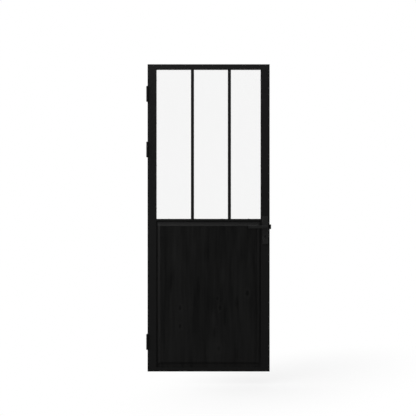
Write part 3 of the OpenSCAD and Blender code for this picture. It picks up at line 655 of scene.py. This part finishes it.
class Bench:
    """What is done to a piece by hand: copying, rounding, cutting and dressing."""

    @staticmethod
    def pick(piece: Piece) -> None:
        """Select one piece and nothing else."""
        bpy.ops.object.select_all(action="DESELECT")
        piece.hide_set(False)
        piece.select_set(True)
        bpy.context.view_layer.objects.active = piece

    @staticmethod
    def copy(node: str) -> Piece:
        """Copy a solid into a new piece and merge its loose triangles.

        Args:
            node: the solid's name.

        Returns:
            The new piece.
        """
        piece = bpy.data.objects.new(f"{node}.dressed", frame["nodes"][node].data.copy())
        bpy.context.scene.collection.objects.link(piece)
        Bench.pick(piece)
        if piece.data.has_custom_normals:
            bpy.ops.mesh.customdata_custom_splitnormals_clear()
        bpy.ops.object.mode_set(mode="EDIT")
        bpy.ops.mesh.select_all(action="SELECT")
        bpy.ops.mesh.remove_doubles(threshold=MERGE_GAP)
        bpy.ops.mesh.dissolve_limited(angle_limit=FLAT_ANGLE)
        bpy.ops.object.mode_set(mode="OBJECT")
        return piece

    @staticmethod
    def round_edges(
        piece: Piece, radius: float, steps: int = 2, sharp: float = SHARP_ANGLE
    ) -> None:
        """Round the sharp edges of a piece.

        Args:
            piece: the piece.
            radius: the rounding, in metres.
            steps: faces across each rounding.
            sharp: the angle over which an edge counts as sharp.
        """
        Bench.pick(piece)
        bevel = piece.modifiers.new("rounding", "BEVEL")
        bevel.width = radius
        bevel.segments = steps
        bevel.limit_method = "ANGLE"
        bevel.angle_limit = sharp
        bevel.use_clamp_overlap = False
        bpy.ops.object.modifier_apply(modifier=bevel.name)

    @staticmethod
    def smooth(piece: Piece) -> None:
        """Shade a piece smooth except over its sharp edges, with its flat faces kept flat.

        Args:
            piece: the piece.
        """
        Bench.pick(piece)
        bpy.ops.object.shade_smooth_by_angle(angle=SMOOTH_ANGLE)
        flat = piece.modifiers.new("flat faces", "WEIGHTED_NORMAL")
        flat.mode = "FACE_AREA"
        flat.weight = FLAT_WEIGHT
        flat.keep_sharp = True
        bpy.ops.object.modifier_apply(modifier=flat.name)

    @staticmethod
    def cut(piece: Piece, cutter: Piece) -> None:
        """Cut one piece with another, which is used up.

        Args:
            piece: the piece that is cut.
            cutter: the piece that is taken away from it.
        """
        Bench.pick(piece)
        tool = piece.modifiers.new("recess", "BOOLEAN")
        tool.operation = "DIFFERENCE"
        tool.solver = "EXACT"
        tool.object = cutter
        bpy.ops.object.modifier_apply(modifier=tool.name)
        bpy.data.objects.remove(cutter)

    @staticmethod
    def islands(piece: Piece) -> list[tuple[Vector, Vector]]:
        """Find the separate solids of a piece.

        Args:
            piece: the piece.

        Returns:
            The lowest and highest corner of each.
        """
        mesh = bmesh.new()
        mesh.from_mesh(piece.data)
        left, boxes = set(mesh.verts), []
        while left:
            todo = [left.pop()]
            low, high = todo[0].co.copy(), todo[0].co.copy()
            while todo:
                vert = todo.pop()
                low = Vector(map(min, low, vert.co))
                high = Vector(map(max, high, vert.co))
                for edge in vert.link_edges:
                    other = edge.other_vert(vert)
                    if other in left:
                        left.remove(other)
                        todo.append(other)
            boxes.append((low, high))
        mesh.free()
        return sorted(boxes, key=lambda box: tuple(round(c, SORT_DIGITS) for c in box[0]))

    @staticmethod
    def dress(piece: Piece, node: str, finish: Finish, slot: str) -> None:
        """Give a piece its finish and its body, and hide the solid it replaces.

        Args:
            piece: the piece.
            node: the solid that it replaces.
            finish: its finish.
            slot: the record's material slot; not used.
        """
        Bench.smooth(piece)
        piece.data.materials.clear()
        piece.data.materials.append(finish.material())
        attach(piece, frame["nodes"][node]["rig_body"])
        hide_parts(node)
        log.info("%s: %d faces, %s", piece.name, len(piece.data.polygons), finish.name)

    @staticmethod
    def make(
        node: str,
        finish: Finish,
        slot: str,
        edge: float = 0.0,
        steps: int = 2,
        sharp: float = SHARP_ANGLE,
    ) -> None:
        """Copy a solid, round its edges and dress it.

        Args:
            node: the solid's name.
            finish: its finish.
            slot: the record's material slot.
            edge: the rounding, in metres; 0 leaves the edges as they are.
            steps: faces across each rounding.
            sharp: the angle over which an edge counts as sharp.
        """
        piece = Bench.copy(node)
        if edge:
            Bench.round_edges(piece, edge, steps, sharp)
        Bench.dress(piece, node, finish, slot)


@dataclass(frozen=True)
class Recess:
    """The driving recess in a screw's head."""

    drive: Drive
    across: float
    width: float
    depth: float
    taper: float = 0.72
    inner: float = 0.4

    def plate(self) -> None:
        """Lay the recess's outline flat at the origin and leave it in edit mode."""
        if self.drive is Drive.HEX:
            radius = self.across / 2
            bpy.ops.mesh.primitive_circle_add(vertices=6, radius=radius, fill_type="NGON")
            bpy.ops.object.mode_set(mode="EDIT")
            return
        bpy.ops.mesh.primitive_plane_add(size=self.across)
        bpy.ops.object.mode_set(mode="EDIT")
        bpy.ops.mesh.subdivide(number_cuts=2)
        mesh = bmesh.from_edit_mesh(bpy.context.object.data)
        for vert in mesh.verts:
            for i in (0, 1):
                if abs(vert.co[i]) < self.inner * self.across:
                    vert.co[i] = math.copysign(self.width / 2, vert.co[i])
        for face in mesh.faces:
            middle = face.calc_center_median()
            face.select = min(abs(middle.x), abs(middle.y)) > self.width / 2
        bmesh.update_edit_mesh(bpy.context.object.data)
        bpy.ops.mesh.delete(type="FACE")
        bpy.ops.mesh.select_all(action="SELECT")

    def cutter(self, seat: Vector, facing: Vector) -> Piece:
        """Model the cutter for one head.

        Args:
            seat: the middle of the head's outer face.
            facing: the way the head faces.

        Returns:
            The cutter.
        """
        bpy.ops.object.select_all(action="DESELECT")
        self.plate()
        bpy.ops.mesh.select_all(action="SELECT")
        way = (0, 0, -2 * self.depth)
        bpy.ops.mesh.extrude_region_move(TRANSFORM_OT_translate={"value": way})
        bpy.ops.transform.resize(value=(self.taper, self.taper, 1))
        bpy.ops.mesh.select_all(action="SELECT")
        bpy.ops.mesh.normals_make_consistent(inside=False)
        bpy.ops.object.mode_set(mode="OBJECT")
        made = bpy.context.object
        made.rotation_mode = "QUATERNION"
        made.rotation_quaternion = facing.to_track_quat("Z", "Y")
        made.location = seat + facing * self.depth
        bpy.ops.object.transform_apply()
        return made

    def sink(self, piece: Piece, heads: list[tuple[Vector, Vector]]) -> None:
        """Cut the recess into every head.

        Args:
            piece: the screws.
            heads: the middle of each head's face and the way it faces.
        """
        cutters = [self.cutter(seat, facing) for seat, facing in heads]
        bpy.ops.object.select_all(action="DESELECT")
        for cutter in cutters:
            cutter.select_set(True)
        bpy.context.view_layer.objects.active = cutters[0]
        bpy.ops.object.join()
        Bench.cut(piece, cutters[0])


@dataclass(frozen=True)
class Screws:
    """One group of screws whose heads all face one way."""

    node: str
    finish: Finish
    slot: str
    recess: Recess
    axis: Axis

    def facing(self, low: Vector, high: Vector) -> Vector:
        """Tell the way that one screw's head faces.

        Args:
            low: the lowest corner of the screw's box; not used.
            high: its highest corner; not used.

        Returns:
            The way.
        """
        return self.axis.vector()

    def build(self) -> None:
        """Model the driving recesses and dress the screws."""
        piece = Bench.copy(self.node)
        heads = []
        for low, high in Bench.islands(piece):
            facing = self.facing(low, high)
            reach = abs((high - low).dot(facing)) / 2
            heads.append(((low + high) / 2 + facing * reach, facing))
        self.recess.sink(piece, heads)
        Bench.dress(piece, self.node, self.finish, self.slot)


@dataclass(frozen=True)
class BeadScrews(Screws):
    """The bead screws: heads face the rear, or into the opening that the bead lines."""

    def facing(self, low: Vector, high: Vector) -> Vector:
        """Tell the way that one screw's head faces from how its box lies.

        Args:
            low: the lowest corner of the screw's box.
            high: its highest corner.

        Returns:
            The way.
        """
        size = high - low
        long = max(range(3), key=lambda i: size[i])
        if long == 1:
            return self.axis.vector()
        middle = (low + high) / 2
        if long == 0:
            return (Axis.RIGHT if middle.x < 0 else Axis.LEFT).vector()
        glass_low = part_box("glazing_bead_bottom")[0].z
        floor = glass_low if middle.z > glass_low else 0
        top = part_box("top_rail")[1].z if middle.z > glass_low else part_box("lock_rail")[0].z
        return (Axis.UP if middle.z < (floor + top) / 2 else Axis.DOWN).vector()


@dataclass
class SteelFrame:
    """The welded frame of the leaf, its glazing bars, beads and bead screws."""

    members: tuple[str, ...] = (
        "hinge_stile", "lock_stile", "top_rail", "lock_rail", "rail_cap", "bottom_rail",
        "glazing_bar_left", "glazing_bar_right",
    )
    beads: tuple[str, ...] = (
        "glazing_bead_top", "glazing_bead_bottom",
        "glazing_bead_hinge_side", "glazing_bead_lock_side",
        "bar_cover_left", "bar_cover_right",
        "panel_bead_top", "panel_bead_bottom",
        "panel_bead_hinge_side", "panel_bead_lock_side",
    )
    edge: float = 0.7 * MM
    bead_edge: float = 0.35 * MM
    screws: Screws = BeadScrews(
        "bead_screws", SCREW_METAL, "screw_steel",
        Recess(Drive.CROSS, 2.6 * MM, 0.7 * MM, 1.0 * MM), Axis.BACK,
    )

    def build(self) -> None:
        """Round the members and beads, coat them and put the screws in."""
        for node in self.members:
            # The cap takes the frame's coat painted lighter, as painted light on its upward face.
            coat = CAP_COAT_PAINTED_LIGHTER if node == "rail_cap" else FRAME_COAT
            Bench.make(node, coat, "frame_steel", self.edge, sharp=BEVEL_ANGLE)
        for node in self.beads:
            Bench.make(node, FRAME_COAT, "frame_steel", self.bead_edge)
        self.screws.build()


@dataclass
class Glazing:
    """The three panes and their gaskets."""

    places: tuple[str, ...] = ("left", "middle", "right")
    arris: float = 0.8 * MM
    lip: float = 0.6 * MM

    def build(self) -> None:
        """Grind the panes' edges, round the gaskets' lips and dress both."""
        for place in self.places:
            Bench.make(f"glass_{place}", GLASS, "clear_glass", self.arris, 1)
            Bench.make(f"gasket_{place}", RUBBER, "gasket_rubber", self.lip)


@dataclass
class TimberPanel:
    """The raised panel under the lock rail, and its seal."""

    arris: float = 0.9 * MM
    lip: float = 0.8 * MM

    def build(self) -> None:
        """Ease the panel's edges, stain it, and dress the seal."""
        Bench.make("wood_panel", TIMBER, "panel_wood", self.arris, 3, BEVEL_ANGLE)
        Bench.make("panel_seal", RUBBER, "gasket_rubber", self.lip)


@dataclass
class Hinges:
    """The three butt hinges and their screws."""

    places: tuple[str, ...] = ("low", "mid", "top")
    edge: float = 0.35 * MM
    screws: Screws = Screws(
        "hinge_screws", HINGE_COAT, "hinge_steel",
        Recess(Drive.CROSS, 3.4 * MM, 0.8 * MM, 1.2 * MM), Axis.LEFT,
    )

    def build(self) -> None:
        """Round, coat and screw on each hinge."""
        for place in self.places:
            for part in ("jamb_plate", "leaf_plate", "pin"):
                Bench.make(f"hinge_{place}_{part}", HINGE_COAT, "hinge_steel", self.edge)
            Bench.make(f"hinge_{place}_washers", NYLON, "bearing_nylon")
        self.screws.build()


@dataclass
class MortiseLock:
    """The lock case in the stile, its forend and its bolts."""

    edge: float = 0.4 * MM
    bolt_edge: float = 0.6 * MM
    # A dark disc behind the keyhole, standing in as painted shade.
    shade_disc_place: Place = (413 * MM, 4.4 * MM, 979 * MM)
    shade_disc_radius: float = 10.9 * MM
    shade_disc_thick: float = 1 * MM
    shade_disc_edge: float = 0.2 * MM
    shade_disc_sides: int = 48
    spring_lengths: int = 12
    spring_foot: float = 1.2 * MM
    spring_thin: float = 0.75
    screws: Screws = Screws(
        "forend_screws", BOLT_METAL, "bolt_steel",
        Recess(Drive.CROSS, 3.2 * MM, 0.8 * MM, 1.2 * MM), Axis.RIGHT,
    )

    def build(self) -> None:
        """Round and dress the lock's parts."""
        for node in ("lock_case", "lock_cover"):
            Bench.make(node, CASE_METAL, "case_steel")
        for node, edge in (
            ("forend", self.edge),
            ("latch_bolt", self.bolt_edge),
            ("dead_bolt", self.bolt_edge),
            ("follower", self.edge),
            ("spindle", self.edge),
        ):
            Bench.make(node, BOLT_METAL, "bolt_steel", edge)
        self.bend_spring()
        self.screws.build()
        self.hang_shade_disc()

    def bend_spring(self) -> None:
        """Cut the leaf spring into short lengths and narrow it about the latch bolt's heel."""
        spring = Bench.copy("latch_spring")
        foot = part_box("latch_spring")[1].z - self.spring_foot
        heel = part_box("latch_bolt")[0].x
        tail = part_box("latch_bolt")[1].z
        bpy.ops.object.mode_set(mode="EDIT")
        for step in range(self.spring_lengths):
            level = tail + (foot - tail) * step / (self.spring_lengths - 1)
            bpy.ops.mesh.select_all(action="SELECT")
            bpy.ops.mesh.bisect(plane_co=(0, 0, level), plane_no=(0, 0, 1))
        bpy.ops.mesh.select_all(action="SELECT")
        bpy.ops.transform.resize(value=(self.spring_thin, 1, 1), center_override=(heel, 0, 0))
        bpy.ops.object.mode_set(mode="OBJECT")
        Bench.dress(spring, "latch_spring", BOLT_METAL, "bolt_steel")
        spring.parent = None
        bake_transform(spring)

    def hang_shade_disc(self) -> None:
        """Model a dark disc inside the case that closes the view through the keyhole: painted shade
        in the keyhole.
        """
        bpy.ops.object.select_all(action="DESELECT")
        bpy.ops.mesh.primitive_cylinder_add(
            vertices=self.shade_disc_sides, radius=self.shade_disc_radius, depth=self.shade_disc_thick,
            location=self.shade_disc_place, rotation=(math.pi / 2, 0, 0),
        )
        shade_disc = bpy.context.object
        shade_disc.name = "lock_shade_disc"
        bpy.ops.object.transform_apply()
        Bench.round_edges(shade_disc, self.shade_disc_edge)
        Bench.smooth(shade_disc)
        shade_disc.data.materials.clear()
        # The disc takes a dark coat, so the keyhole shows painted shade.
        shade_disc.data.materials.append(HINGE_COAT.material())
        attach(shade_disc, frame["nodes"]["lock_case"]["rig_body"])
        log.info("%s: %d faces", shade_disc.name, len(shade_disc.data.polygons))


@dataclass
class HandleSet:
    """Levers, handle plates, bushes and their screws."""

    plate_edge: float = 0.8 * MM
    lever_edge: float = 0.8 * MM
    bush_edge: float = 0.3 * MM
    plate_screws: Screws = Screws(
        "plate_screws", HANDLE_COAT, "handle_black",
        Recess(Drive.CROSS, 4.4 * MM, 1.0 * MM, 1.4 * MM), Axis.BACK,
    )
    grub_screws: Screws = Screws(
        "grub_screws", BOLT_METAL, "bolt_steel",
        Recess(Drive.HEX, 2.3 * MM, 2.0 * MM, 1.2 * MM), Axis.DOWN,
    )

    def build(self) -> None:
        """Round and dress both faces' handles and put the screws in."""
        for side in ("front", "back"):
            Bench.make(f"plate_{side}", HANDLE_COAT, "handle_black", self.plate_edge)
            Bench.make(f"lever_{side}", HANDLE_COAT, "handle_black", self.lever_edge)
            Bench.make(f"bush_{side}", NYLON, "bush_nylon", self.bush_edge)
        self.plate_screws.build()
        self.grub_screws.build()


@dataclass(frozen=True)
class SoftLamp:
    """A square soft box aimed at a point."""

    name: str
    place: Place
    aim: Place
    size: float
    watts: float

    def hang(self) -> None:
        """Put the lamp in place."""
        data = bpy.data.lights.new(self.name, "AREA")
        data.shape = "SQUARE"
        data.size = self.size
        data.energy = self.watts
        lamp = bpy.data.objects.new(self.name, data)
        bpy.context.scene.collection.objects.link(lamp)
        lamp.location = self.place
        way = Vector(self.aim) - Vector(self.place)
        lamp.rotation_mode = "QUATERNION"
        lamp.rotation_quaternion = way.to_track_quat("-Z", "Y")
        lamp.visible_camera = False
        lamp.visible_transmission = False
        log.info("%s: %.0f W", self.name, self.watts)


@dataclass
class Studio:
    """Floor, light and the camera of the front view."""

    floor_z: float = -0.10
    floor_side: float = 80.0
    floor_white: float = 0.80
    floor_bounce: float = 0.12
    bright_share: float = 0.67
    # Middle and stretch of the floor's mask, which paints a soft shadow to the leaf's right.
    shade_middle: Span = (0.65, 0.17)
    shade_long: float = 0.67
    shade_wide: float = 1.48
    clear_near: float = 0.0
    clear_far: float = 1.75
    ambient: float = 0.785
    room_dark: float = 0.03
    room_edge: Span = (-0.1, 0.35)
    view_px: float = 416.0
    sensor: float = 36.0
    view_far: float = 5.0
    px_per_m: float = 137.2
    eye_x: float = -0.00444
    eye_z: float = 1.19204
    lamps: tuple[SoftLamp, ...] = (
        SoftLamp("key_lamp", (-6.5, -5.7, 7.0), (0.0, 0.0, 1.2), 5.0, 175.0),
        SoftLamp("top_lamp", (0.2, -1.7, 4.7), (0.0, 0.0, 0.8), 2.6, 28.0),
        SoftLamp("front_lamp", (-1.75, -5.5, 3.6), (0.0, 0.0, 1.1), 1.6, 15.0),
        SoftLamp("left_lamp", (-6.0, -5.0, 1.4), (0.0, 0.0, 0.9), 2.4, 55.0),
        SoftLamp("right_lamp", (6.0, -5.0, 1.4), (0.0, 0.0, 0.9), 2.4, 34.0),
        SoftLamp("rear_lamp", (-4.9, 0.6, 2.9), (0.3, 0.0, 0.0), 4.5, 110.0),
    )

    def rays(self, recipe: Recipe) -> tuple[Shade, Shade]:
        """Sort the rays that show the background itself.

        Args:
            recipe: the tree that the Light Path node is added to.

        Returns:
            1 for camera and transmission rays, and 1 for glossy rays.
        """
        camera = recipe.node("ShaderNodeLightPath", output="Is Camera Ray")
        kinds = camera.socket.node.outputs
        through = Shade(recipe, kinds["Is Transmission Ray"])
        return camera.largest(through), Shade(recipe, kinds["Is Glossy Ray"])

    def sky(self) -> None:
        """Soft even light, a white background, and a dim room behind the camera for reflections."""
        world = bpy.data.worlds.new("studio")
        world.use_nodes = True
        bpy.context.scene.world = world
        recipe = Recipe(world.node_tree)
        white = (1, 1, 1, 1)
        light, dim, shown = (
            recipe.node("ShaderNodeBackground", inputs={"Color": white, "Strength": strength})
            for strength in (self.ambient, self.room_dark, 1.0)
        )
        direct, glossy = self.rays(recipe)
        _, deep, _ = recipe.parts(recipe.node("ShaderNodeTexCoord", output="Generated"))
        seen = direct.largest(glossy * deep.step(*self.room_edge))
        soft = recipe.node("ShaderNodeMixShader", inputs={0: glossy, 1: light, 2: dim})
        both = recipe.node("ShaderNodeMixShader", inputs={0: seen, 1: soft, 2: shown})
        recipe.node("ShaderNodeOutputWorld", inputs={"Surface": both})

    def lay_floor(self) -> None:
        """A pale floor that keeps the leaf's soft shadow, with a painted shadow from a mask to the
        leaf's right, and runs out into the white background.
        """
        bpy.ops.object.select_all(action="DESELECT")
        bpy.ops.mesh.primitive_plane_add(size=self.floor_side, location=(0, 0, self.floor_z))
        floor = bpy.context.object
        floor.name = "floor"
        material = bpy.data.materials.new("pale_floor")
        material.use_nodes = True
        recipe = Recipe(material.node_tree)
        x, y, _ = recipe.parts(recipe.place())
        # Less white is mixed in round a point right of the leaf: the real shadow shows there, and
        # the floor is also painted grey there, a painted shadow.
        across, back = x - self.shade_middle[0], y - self.shade_middle[1]
        along, aside = (across + back) * self.shade_long, (across - back) * self.shade_wide
        far = (along * along + aside * aside).root()
        clear = far.step(self.clear_near, self.clear_far)
        share = clear.between(self.bright_share, 1.0)
        matt, dull = (
            recipe.node("ShaderNodeBsdfDiffuse", inputs={"Color": (*neutral(level), 1)})
            for level in (self.floor_white, self.floor_bounce)
        )
        white = recipe.node("ShaderNodeEmission", inputs={"Color": (1, 1, 1, 1), "Strength": 1.0})
        shown = recipe.node("ShaderNodeMixShader", inputs={0: share, 1: matt, 2: white})
        direct, _ = self.rays(recipe)
        mixed = recipe.node("ShaderNodeMixShader", inputs={0: direct, 1: dull, 2: shown})
        recipe.node("ShaderNodeOutputMaterial", inputs={"Surface": mixed})
        floor.data.materials.append(material)

    def aim_camera(self) -> None:
        """Stand the camera square in front of the leaf, at its middle."""
        data = bpy.data.cameras.new("front_view")
        data.sensor_width = self.sensor
        data.lens = self.px_per_m * self.view_far / self.view_px * self.sensor
        data.dof.use_dof = False
        camera = bpy.data.objects.new("front_view", data)
        bpy.context.scene.collection.objects.link(camera)
        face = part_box("hinge_stile")[0].y
        camera.location = (self.eye_x, face - self.view_far, self.eye_z)
        camera.rotation_euler = (math.pi / 2, 0, 0)
        bpy.context.scene.camera = camera

    def build(self) -> None:
        """Set up the whole studio."""
        bpy.context.scene.view_settings.view_transform = "Standard"
        self.sky()
        self.lay_floor()
        for lamp in self.lamps:
            lamp.hang()
        self.aim_camera()


def main() -> None:
    """Build and dress every part of the leaf, then the studio."""
    logging.basicConfig(level=logging.INFO, format="%(name)s: %(message)s")
    for part in (SteelFrame, Glazing, TimberPanel, Hinges, MortiseLock, HandleSet, Studio):
        log.info("building %s", part.__name__)
        part().build()


if __name__ == "__main__":
    main()
